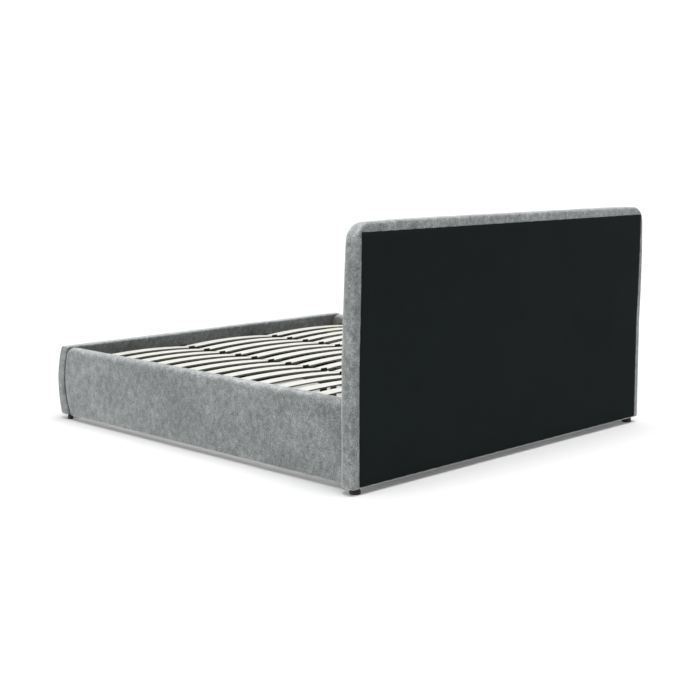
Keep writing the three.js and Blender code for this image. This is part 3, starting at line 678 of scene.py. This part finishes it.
def headboard_cover():
    """Fabric over foam: soft in front, firm behind, with the open back that holds the frame."""
    give = START_GIVE
    half, top, bottom = HEADBOARD_HALF_WIDTH - give, HEADBOARD_TOP - give, HEADBOARD_BOTTOM
    recess_floor = HEADBOARD_BACK - RECESS_DEPTH

    def outline(depth, inset, sole_inset):
        corner = HEADBOARD_CORNER - inset
        sole = max(LEAST_BOTTOM_EDGE, HEADBOARD_BOTTOM_EDGE - sole_inset)
        ring = rounded_ring(
            -half + inset, half - inset, bottom + sole_inset, top - inset,
            (sole, sole, corner, corner), *HEADBOARD_MESH,
        )
        return [(x * side_ease(z), depth + lean_at(z), z + top_crown(x, z)) for x, z in ring]

    def recess_outline(depth, grow):
        ring = rounded_ring(
            -RECESS_HALF_WIDTH - grow, RECESS_HALF_WIDTH + grow,
            RECESS_BOTTOM - grow * RECESS_MOUTH_DROP, RECESS_TOP + grow,
            (RECESS_CORNER,) * 4, *HEADBOARD_MESH,
        )
        return [(x, depth + lean_at(z), z) for x, z in ring]

    rings = [
        recess_outline(recess_floor, 0.0),
        recess_outline(HEADBOARD_BACK - RECESS_DEPTH / 2, 0.0),
        recess_outline(HEADBOARD_BACK - RECESS_MOUTH, 0.0),
        recess_outline(HEADBOARD_BACK, RECESS_MOUTH),
    ]
    for k in range(HEADBOARD_BACK_STEPS):
        turn = math.pi / 2 * k / (HEADBOARD_BACK_STEPS - 1)
        inset = HEADBOARD_BACK_EDGE * (1 - math.sin(turn))
        depth = HEADBOARD_BACK - HEADBOARD_BACK_EDGE * (1 - math.cos(turn))
        rings.append(outline(depth, inset, inset))
    straight = HEADBOARD_BACK - HEADBOARD_BACK_EDGE, HEADBOARD_FRONT + give + HEADBOARD_FRONT_EDGE
    for k in range(1, 3):
        rings.append(outline(straight[0] + (straight[1] - straight[0]) * k / 3, 0.0, 0.0))
    for k in range(HEADBOARD_FRONT_STEPS):
        turn = math.pi / 2 * k / (HEADBOARD_FRONT_STEPS - 1)
        inset = HEADBOARD_FRONT_EDGE * (1 - math.cos(turn))
        sole_inset = HEADBOARD_BOTTOM_EDGE * (1 - math.cos(turn))
        rings.append(outline(straight[1] - HEADBOARD_FRONT_EDGE * math.sin(turn), inset, sole_inset))
    piece = loft("headboard_padded_cover", rings, *HEADBOARD_MESH)

    def stapled(co):
        rim = STAPLED_ROUND_RECESS
        on_back = co.y > HEADBOARD_BACK + lean_at(co.z) - STAPLED_AT_BACK
        near_recess = abs(co.x) < RECESS_HALF_WIDTH + rim and co.z < RECESS_TOP + rim
        in_recess = near_recess and co.y > recess_floor + lean_at(co.z) - STAPLED_IN_RECESS
        against_rails = co.z < CROWN_START and co.y < HEADBOARD_FRONT + STAPLED_AT_FRONT
        return on_back or against_rails or in_recess

    for vertex in piece.data.vertices:
        co = vertex.co
        if co.y < recess_floor - CROWN_BEHIND + lean_at(co.z):
            level = (co.z - CROWN_START) / (top - CROWN_START)
            if 0 < level < 1:
                side = 1 - (co.x / half) ** CROWN_SQUARENESS
                co.y -= HEADBOARD_CROWN * side * math.sin(math.pi * level) ** CROWN_FULLNESS
    swell(piece, HEADBOARD_SWELL, stapled)
    subdivide(piece)
    ripple(piece, *HEADBOARD_RIPPLE, lambda co: 0.0 if stapled(co) else 1.0)
    finish_piece(piece, CHENILLE, "grey_fabric", "headboard_cover")


def thin_sheet(name, columns, rows, place, thickness):
    """A closed thin sheet: place(u, v, layer) gives a point for u and v from 0 to 1, layer 0 or 1."""
    points, faces = [], []
    for layer in (0, 1):
        for j in range(rows + 1):
            for i in range(columns + 1):
                points.append(place(i / columns, j / rows, layer * thickness))
    stride = columns + 1
    sheet = stride * (rows + 1)
    for j in range(rows):
        for i in range(columns):
            a = j * stride + i
            faces.append((a, a + 1, a + 1 + stride, a + stride))
            b = a + sheet
            faces.append((b, b + stride, b + 1 + stride, b + 1))
    rim = list(range(columns))
    rim += [columns + j * stride for j in range(rows)]
    rim += [rows * stride + columns - i for i in range(columns)]
    rim += [(rows - j) * stride for j in range(rows)]
    for k, a in enumerate(rim):
        b = rim[(k + 1) % len(rim)]
        faces.append((a, a + sheet, b + sheet, b))
    return make_object(name, points, faces)


def back_cloth():
    """The black cloth: stretched over the open back and tacked along its turned-in edge."""
    width, height = cloth_high.x - cloth_low.x, cloth_high.z - cloth_low.z

    def place(u, v, out):
        edge = min(min(u, 1 - u) * width, min(v, 1 - v) * height)
        slack = 1 - math.exp(-edge / CLOTH_SLACK_REACH)
        x, z = cloth_low.x + width * u, cloth_low.z + height * v
        scallop = CLOTH_SCALLOP * (0.5 + 0.5 * math.cos(2 * math.pi * (x + z) / CLOTH_TACK_PITCH))
        if u in (0, 1):
            x += scallop * (1 if u == 0 else -1)
        if v in (0, 1):
            z += scallop * (1 if v == 0 else -1)
        spot = Vector((x * CLOTH_BILLOW_ACROSS, CLOTH_BILLOW_SEED, z * CLOTH_BILLOW_UP))
        billow = CLOTH_BILLOW * slack * noise.noise(spot)
        return x, HEADBOARD_BACK + lean_at(z) + CLOTH_GAP + billow + out, z

    piece = thin_sheet("headboard_back_sheet", *CLOTH_MESH, place, CLOTH_THICKNESS)
    finish_piece(piece, CLOTH, "black_cloth", "headboard_back_cloth")


headboard_cover()
back_cloth()


# ---------------------------------------------------------------- footboard arcs, side rails

foot_low, foot_high = span("footboard_cover")
FOOT_ARC_Y = foot_low.y + FOOTBOARD_RADIUS
FOOT_INNER_RADIUS = FOOTBOARD_RADIUS - FOOTBOARD_THICKNESS


def arc_y(radius, z):
    return FOOT_ARC_Y - math.sqrt(radius * radius - (z - FOOTBOARD_ARC_Z) ** 2)


def end_stations(edge):
    """Where the rings lie on a rounded end, measured from its tip."""
    return [edge * (1 - math.cos(math.pi / 2 * k / END_STEPS)) for k in range(END_STEPS)]


def rail_rings(inner, outer, bottom, top, head):
    """The right-hand rail from the headboard to the footboard, whose curve its end follows."""
    height = top - bottom
    length = head - arc_y(FOOT_INNER_RADIUS, (top + bottom) / 2)
    stations = end_stations(RAIL_END_EDGE)
    stations += [RAIL_END_EDGE + (RAIL_FOOT_CORNER - RAIL_END_EDGE) * k / 3 for k in range(3)]
    straight = length - RAIL_FOOT_CORNER
    stations += [RAIL_FOOT_CORNER + straight * k / RAIL_LENGTHWISE for k in range(RAIL_LENGTHWISE + 1)]
    rings = []
    for station in reversed(stations):
        inset = rounding(RAIL_END_EDGE, RAIL_END_EDGE - station)
        drop = rounding(RAIL_FOOT_CORNER, RAIL_FOOT_CORNER - station)
        widest = (outer - inner) / 2 - inset - EDGE_CLEARANCE
        radii = [
            min(widest, max(LEAST_EDGE, radius - inset))
            for radius in (RAIL_BOTTOM_EDGE, RAIL_BOTTOM_EDGE, RAIL_TOP_EDGE, RAIL_TOP_EDGE)
        ]
        ring = rounded_ring(inner + inset, outer - inset, bottom + inset, top - inset, radii, *RAIL_MESH)
        placed = []
        for x, z in ring:
            z = bottom + (z - bottom) * (height - drop) / height
            down = (top - z) / height
            gap = RAIL_END_GAP_TOP + (RAIL_END_GAP_BOTTOM - RAIL_END_GAP_TOP) * down
            end = arc_y(FOOT_INNER_RADIUS, z) + gap
            placed.append((x, end + (head - end) * station / length, z))
        rings.append(placed)
    return rings


def side_rails():
    """Both rails: the right-hand one is built and swollen, and the left-hand one mirrors it."""
    low, high = span("side_rail_cover_right")
    give = START_GIVE
    rings = rail_rings(low.x + give, high.x - give, low.z, high.z - give, high.y)
    right = loft("side_rail_padded_cover_right", rings, *RAIL_MESH)

    def tucked(co):
        at_bottom = co.z < low.z + TUCKED_BOTTOM
        at_head = co.y > high.y - TUCKED_HEAD_END
        inside = co.x < low.x + TUCKED_RAIL_INSIDE and co.z < LINING_TOP
        return at_bottom or at_head or inside

    swell(right, RAIL_SWELL, tucked)
    subdivide(right)
    ripple(right, *RAIL_RIPPLE, lambda co: 0.0 if tucked(co) else 1.0)
    mirrored = [(-v.co.x, v.co.y, v.co.z) for v in right.data.vertices]
    flipped = [tuple(reversed(p.vertices)) for p in right.data.polygons]
    left = make_object("side_rail_padded_cover_left", mirrored, flipped)
    for piece, name in ((right, "right"), (left, "left")):
        finish_piece(piece, CHENILLE, "grey_fabric", f"side_rail_cover_{name}")


side_rails()


# ---------------------------------------------------------------- footboard

def bowed_section(inset):
    """The footboard's section as a bent rounded rectangle: u is depth from the outer face, v height."""
    bottom, top = foot_low.z + inset, foot_high.z + FOOTBOARD_TOP_FULLNESS - inset
    thick = FOOTBOARD_THICKNESS + FOOTBOARD_FULLNESS
    radii = [max(LEAST_EDGE, radius - inset) for radius in FOOTBOARD_CORNERS]
    section = []
    for u, v in rounded_ring(inset, thick - inset, bottom, top, radii, *RAIL_MESH):
        below = max(0.0, FOOTBOARD_ARC_Z - v) / (FOOTBOARD_ARC_Z - foot_low.z)
        out = FOOTBOARD_LOW_FULLNESS * below * below * (1 - u / thick)
        section.append((arc_y(FOOTBOARD_RADIUS + FOOTBOARD_FULLNESS - u, v) - out, v))
    return section


def footboard():
    half = foot_high.x + FOOTBOARD_FULLNESS
    edge = FOOTBOARD_END_EDGE
    ends = end_stations(edge)
    straight = 2 * half - 2 * edge
    middle = [edge + straight * k / FOOTBOARD_LENGTHWISE for k in range(FOOTBOARD_LENGTHWISE + 1)]
    stations = ends + middle + [2 * half - e for e in ends[::-1]]
    rings = []
    for station in stations:
        reach = min(station, 2 * half - station)
        inset = rounding(edge, edge - reach)
        section = bowed_section(inset)
        rings.append([(station - half, y, z) for y, z in section])
    piece = loft("footboard_padded_cover", rings, *RAIL_MESH)

    def tucked(co):
        on_inside = co.y > arc_y(FOOT_INNER_RADIUS, co.z) - TUCKED_FOOTBOARD_INSIDE
        under_slats = on_inside and co.z < LINING_TOP + TUCKED_ABOVE_LINING
        return co.z < foot_low.z + TUCKED_BOTTOM or under_slats

    swell(piece, FOOTBOARD_SWELL, tucked)
    subdivide(piece)
    ripple(piece, *FOOTBOARD_RIPPLE, lambda co: 0.0 if tucked(co) else 1.0)
    finish_piece(piece, CHENILLE, "grey_fabric", "footboard_cover")


def footboard_lining():
    """Black cloth stapled over the inside of the footboard below the slats."""
    low_angle = math.asin((LINING_BOTTOM - FOOTBOARD_ARC_Z) / FOOT_INNER_RADIUS)
    high_angle = math.asin((LINING_TOP - FOOTBOARD_ARC_Z) / FOOT_INNER_RADIUS)

    def place(u, v, out):
        angle = low_angle + (high_angle - low_angle) * v
        radius = FOOT_INNER_RADIUS - LINING_GAP - out
        x = LINING_HALF_WIDTH * (2 * u - 1)
        return x, FOOT_ARC_Y - radius * math.cos(angle), FOOTBOARD_ARC_Z + radius * math.sin(angle)

    piece = thin_sheet("footboard_inside_lining", *LINING_MESH, place, LINING_THICKNESS)
    finish_piece(piece, CLOTH, "black_cloth")


footboard()
footboard_lining()


# ---------------------------------------------------------------- slats and caps

row_boxes = [span(f"slat_row_{index:02d}") for index in range(1, 16)]
ROW_YS = [(low.y + high.y) / 2 for low, high in row_boxes]
SLAT_UNDERSIDE = row_boxes[0][0].z
SLAT_OUTER_X = row_boxes[0][1].x
BEAM_X = (span("slat_caps_beam_right")[0].x + span("slat_caps_beam_right")[1].x) / 2
COLUMNS = [
    ("left", -SLAT_OUTER_X, -BEAM_X - COLUMN_GAP),
    ("middle", -BEAM_X + COLUMN_GAP, BEAM_X - COLUMN_GAP),
    ("right", BEAM_X + COLUMN_GAP, SLAT_OUTER_X),
]


def slat(name, x0, x1, y, jitter):
    """One bent laminated slat: rounded long edges, thin, bowed up in the middle."""
    rings = []
    for k in range(SLAT_LENGTHWISE + 1):
        t = k / SLAT_LENGTHWISE
        rise = 4 * (SLAT_CAMBER + jitter) * t * (1 - t)
        tilt = math.atan(4 * (SLAT_CAMBER + jitter) * (1 - 2 * t) / (x1 - x0))
        middle = SLAT_THICKNESS / 2
        ring = []
        for across_slat, up in rounded_ring(
            -SLAT_WIDTH / 2, SLAT_WIDTH / 2, 0, SLAT_THICKNESS, (SLAT_EDGE,) * 4, *SLAT_MESH,
        ):
            lift = (up - middle) * math.cos(tilt)
            back = (up - middle) * math.sin(tilt)
            ring.append((x0 + (x1 - x0) * t - back, y + across_slat, SLAT_UNDERSIDE + middle + rise + lift))
        rings.append(ring)
    return loft(name, rings, *SLAT_MESH)


def bar(name, low, high, edge):
    """A small moulded bar along X with every edge rounded."""
    rings = []
    for x, inset in (
        (low[0], edge), (low[0] + edge * 0.4, edge * 0.2), (low[0] + edge, 0.0),
        (high[0] - edge, 0.0), (high[0] - edge * 0.4, edge * 0.2), (high[0], edge),
    ):
        radius = max(edge * 0.2, edge - inset)
        ring = rounded_ring(
            low[1] + inset, high[1] - inset, low[2] + inset, high[2] - inset, (radius,) * 4, *BAR_MESH,
        )
        rings.append([(x, y, z) for y, z in ring])
    return loft(name, rings, *BAR_MESH)


def cradle(near, far, top, stopped):
    """A slat cap's upper part: a floor and two cheeks open at the top, with a stop at a closed end."""
    inside = SLAT_WIDTH / 2 + CAP_PLAY
    outside = inside + CAP_WALL
    bottom = SLAT_UNDERSIDE - CAP_FLOOR
    parts = [bar("floor", (near, -outside, bottom), (far, outside, SLAT_UNDERSIDE - CAP_SEAT), CAP_EDGE)]
    for low_y, high_y in ((-outside, -inside), (inside, outside)):
        parts.append(bar("cheek", (near, low_y, bottom), (far, high_y, top), CAP_EDGE))
    if stopped:
        parts.append(bar("stop", (far - CAP_STOP, -outside, bottom), (far, outside, top), CAP_EDGE))
    return parts


def peg_mesh(name, middle_x, bottom_z):
    """The cap's foot: a block between the sleeve and the ledge, tapering a little downward."""
    rings = []
    stations = (
        (bottom_z, -PEG_CHAMFER, PEG_CORNER - PEG_CHAMFER), (bottom_z + PEG_CHAMFER, 0, PEG_CORNER),
        (SLAT_UNDERSIDE - CAP_FLOOR + PEG_BITE, PEG_TAPER, PEG_CORNER),
    )
    for z, grow, radius in stations:
        ring = rounded_ring(
            -PEG_HALF_LENGTH - grow, PEG_HALF_LENGTH + grow, -PEG_HALF_WIDTH - grow, PEG_HALF_WIDTH + grow,
            (radius,) * 4, *PEG_MESH,
        )
        rings.append([(middle_x + x, y, z) for x, y in ring])
    return loft(name, rings, *PEG_MESH)


def joined(name, parts):
    """One object from several closed bodies."""
    points, faces = [], []
    for part in parts:
        base = len(points)
        points += [v.co.copy() for v in part.data.vertices]
        faces += [tuple(base + i for i in p.vertices) for p in part.data.polygons]
        bpy.data.objects.remove(part)
    return make_object(name, points, faces)


def caps():
    for place, side in SIDES.items():
        for kind in ("beam", "rail"):
            node_name = f"slat_caps_{kind}_{place}"
            low, high = span(node_name)
            near, far = sorted((abs(low.x), abs(high.x)))
            parts = cradle(near, far, high.z + CAP_RISE, kind == "rail")
            parts.append(peg_mesh("peg", (near + far) / 2, low.z))
            template = joined(f"slat_cap_{kind}_{place}_01", parts)
            if side < 0:
                for vertex in template.data.vertices:
                    vertex.co.x = -vertex.co.x
                template.data.flip_normals()
            for row, y in enumerate(ROW_YS, start=1):
                piece = template
                if row > 1:
                    piece = bpy.data.objects.new(f"slat_cap_{kind}_{place}_{row:02d}", template.data)
                    bpy.context.collection.objects.link(piece)
                piece.location.y = y
                finish_piece(piece, PLASTIC, "black_plastic", *([node_name] if row == 1 else []))


for row, y in enumerate(ROW_YS, start=1):
    for place, x0, x1 in COLUMNS:
        seed = (row * 3 + len(place)) * GOLDEN % 1.0
        made = slat(f"slat_{row:02d}_{place}", x0, x1, y, SLAT_UNEVENNESS * (seed - 0.5))
        finish_piece(made, SLAT, "slat_wood", *([f"slat_row_{row:02d}"] if place == "middle" else []))
caps()


# ---------------------------------------------------------------- feet, legs and bolts

def turned(name, profile, segments):
    """A body of revolution about Z from (radius, height) pairs, bottom up, closed at both ends."""
    rings = []
    for radius, height in profile:
        angles = [2 * math.pi * k / segments for k in range(segments)]
        rings.append([(radius * math.cos(a), radius * math.sin(a), height) for a in angles])
    points = [p for ring in rings for p in ring]
    faces = []
    for level in range(len(rings) - 1):
        low, high = level * segments, (level + 1) * segments
        for i in range(segments):
            j = (i + 1) % segments
            faces.append((low + i, low + j, high + j, high + i))
    faces.append(tuple(reversed(range(segments))))
    faces.append(tuple((len(rings) - 1) * segments + i for i in range(segments)))
    piece = make_object(name, points, faces)
    piece.data.set_sharp_from_angle(angle=math.radians(SHARP_ANGLE))
    return piece


def softened(radius, low, high, edge):
    """A disc's side from low to high with both edges rounded."""
    quarter = [math.pi / 2 * k / 4 for k in range(5)]
    lower = [(radius - edge + edge * math.sin(a), low + edge - edge * math.cos(a)) for a in quarter]
    upper = [(radius - edge + edge * math.cos(a), high - edge + edge * math.sin(a)) for a in quarter]
    return lower + upper


def feet():
    for end in ("head", "foot"):
        for place in SIDES:
            low, high = span(f"corner_foot_{end}_{place}")
            radius, height = (high.x - low.x) / 2, high.z
            profile = softened(radius, 0.0, height * FOOT_TREAD_TOP, FOOT_TREAD_EDGE)
            stem = radius * FOOT_STEM_RADIUS
            profile += softened(stem, height * FOOT_STEM_BOTTOM, height, FOOT_STEM_EDGE)
            piece = turned(f"glide_{end}_{place}", profile, FOOT_SEGMENTS)
            piece.location = ((low.x + high.x) / 2, (low.y + high.y) / 2, 0)
            finish_piece(piece, PLASTIC, "black_plastic", f"corner_foot_{end}_{place}")


def legs():
    for end in ("head", "middle", "foot"):
        for place in SIDES:
            low, high = span(f"centre_leg_{end}_{place}")
            plate, top = (high.x - low.x) / 2, high.z
            neck = LEG_PAD_HEIGHT + LEG_NECK_HEIGHT
            neck_radius = LEG_TUBE_RADIUS * LEG_NECK_SHARE
            under_plate = top - LEG_PLATE_HEIGHT
            profile = softened(LEG_PAD_RADIUS, 0.0, LEG_PAD_HEIGHT, LEG_PAD_EDGE)
            profile += softened(neck_radius, LEG_PAD_HEIGHT + LEG_STEP, neck, LEG_NECK_EDGE)
            profile += softened(LEG_TUBE_RADIUS, neck + LEG_STEP, under_plate - LEG_STEP, LEG_TUBE_EDGE)
            profile += softened(plate, under_plate, top, LEG_PLATE_EDGE)
            piece = turned(f"leg_{end}_{place}", profile, LEG_SEGMENTS)
            piece.location = ((low.x + high.x) / 2, (low.y + high.y) / 2, 0)
            finish_piece(piece, COAT, "black_steel", f"centre_leg_{end}_{place}")


feet()
legs()


# ---------------------------------------------------------------- carried-over parts

def dress(node_name, material, edge):
    """Gives a carried-over part its material and breaks its sharp edges."""
    part = NODES[node_name]
    part.data.materials.clear()
    part.data.materials.append(material)
    bevel = part.modifiers.new("broken_edges", "BEVEL")
    bevel.width = edge
    bevel.segments = 2
    bevel.limit_method = "ANGLE"
    bevel.angle_limit = math.radians(BEVEL_ANGLE)


DRESSING = [
    ("headboard_stile", TIMBER_Z, 0.0012),
    ("headboard_top_rail", TIMBER_X, 0.0012),
    ("headboard_bottom_rail", TIMBER_X, 0.0012),
    ("headboard_front_board", TIMBER_X, 0.0006),
    ("footboard_core", TIMBER_X, 0.0006),
    ("side_rail_board", TIMBER_Y, 0.0008),
    ("side_rail_ledge", TIMBER_Y, 0.0015),
    ("centre_beam", COAT, 0.0004),
    ("head_beam_ledge", COAT, 0.0004),
    ("foot_beam_ledge", COAT, 0.0004),
    ("corner_bracket", ZINC, 0.0004),
    ("bolt_", ZINC, 0.0005),
]
for node_name in NODES:
    for prefix, material, edge in DRESSING:
        if node_name.startswith(prefix):
            dress(node_name, material, edge)


# ---------------------------------------------------------------- floor, light and camera

def stage_floor():
    """A wide pale table, faintly lit from below as a product table is."""
    material, tree, shader = new_material("studio_floor")
    cloud = noise_value(tree, coordinates(tree), 0.8, 2, 0.5)
    color = ramp(tree, cloud, [(0.0, (0.79, 0.79, 0.79)), (1.0, (0.82, 0.82, 0.82))])
    tree.links.new(color, shader.inputs["Base Color"])
    shader.inputs["Roughness"].default_value = 0.9
    shader.inputs["Specular IOR Level"].default_value = 0.1
    shader.inputs["Emission Color"].default_value = (1, 1, 1, 1)
    shader.inputs["Emission Strength"].default_value = FLOOR_GLOW
    size = FLOOR_HALF_SIZE
    floor = make_object("studio_floor", [
        (-size, -size, 0), (size, -size, 0), (size, size, 0), (-size, size, 0),
    ], [(0, 1, 2, 3)], smooth=False)
    floor.data.materials.append(material)


def world_light():
    """A studio surround: bright walls round the horizon, a dimmer ceiling."""
    world = bpy.data.worlds.new("studio_surround")
    world.use_nodes = True
    tree = world.node_tree
    source = tree.nodes.new("ShaderNodeTexCoord")
    split = tree.nodes.new("ShaderNodeSeparateXYZ")
    tree.links.new(source.outputs["Generated"], split.inputs["Vector"])
    shade = ramp(tree, split.outputs["Z"], [
        (WALL_TOP, (1, 1, 1)), (CEILING_START, (CEILING,) * 3),
    ])
    light = tree.nodes["Background"]
    tree.links.new(shade, light.inputs["Color"])
    light.inputs["Strength"].default_value = SURROUND
    bpy.context.scene.world = world


def soft_lamp(name, azimuth, elevation, strength, spread):
    """A very wide, very distant soft box: spread is its size in degrees."""
    data = bpy.data.lights.new(name, "SUN")
    data.energy = strength
    data.angle = math.radians(spread)
    lamp = bpy.data.objects.new(name, data)
    turn, rise = math.radians(azimuth), math.radians(elevation)
    lamp.location = (
        LAMP_DISTANCE * math.sin(turn) * math.cos(rise),
        -LAMP_DISTANCE * math.cos(turn) * math.cos(rise),
        LAMP_DISTANCE * math.sin(rise),
    )
    lamp.rotation_euler = (-Vector(lamp.location)).to_track_quat("-Z", "Y").to_euler()
    bpy.context.collection.objects.link(lamp)


def view_camera():
    azimuth, elevation = math.radians(VIEW_AZIMUTH), math.radians(VIEW_ELEVATION)
    level = math.cos(elevation)
    back = Vector((math.sin(azimuth) * level, -math.cos(azimuth) * level, math.sin(elevation)))
    data = bpy.data.cameras.new("view")
    data.lens = VIEW_LENS
    data.sensor_width = VIEW_SENSOR
    data.shift_y = VIEW_SHIFT
    data.clip_end = VIEW_REACH
    camera = bpy.data.objects.new("view", data)
    camera.location = VIEW_AIM + back * VIEW_DISTANCE
    camera.rotation_euler = (-back).to_track_quat("-Z", "Y").to_euler()
    bpy.context.collection.objects.link(camera)
    bpy.context.scene.camera = camera


bpy.context.scene.view_settings.view_transform = "Standard"
stage_floor()
world_light()
soft_lamp("overhead", *OVERHEAD_LAMP)
soft_lamp("side", *SIDE_LAMP)
view_camera()
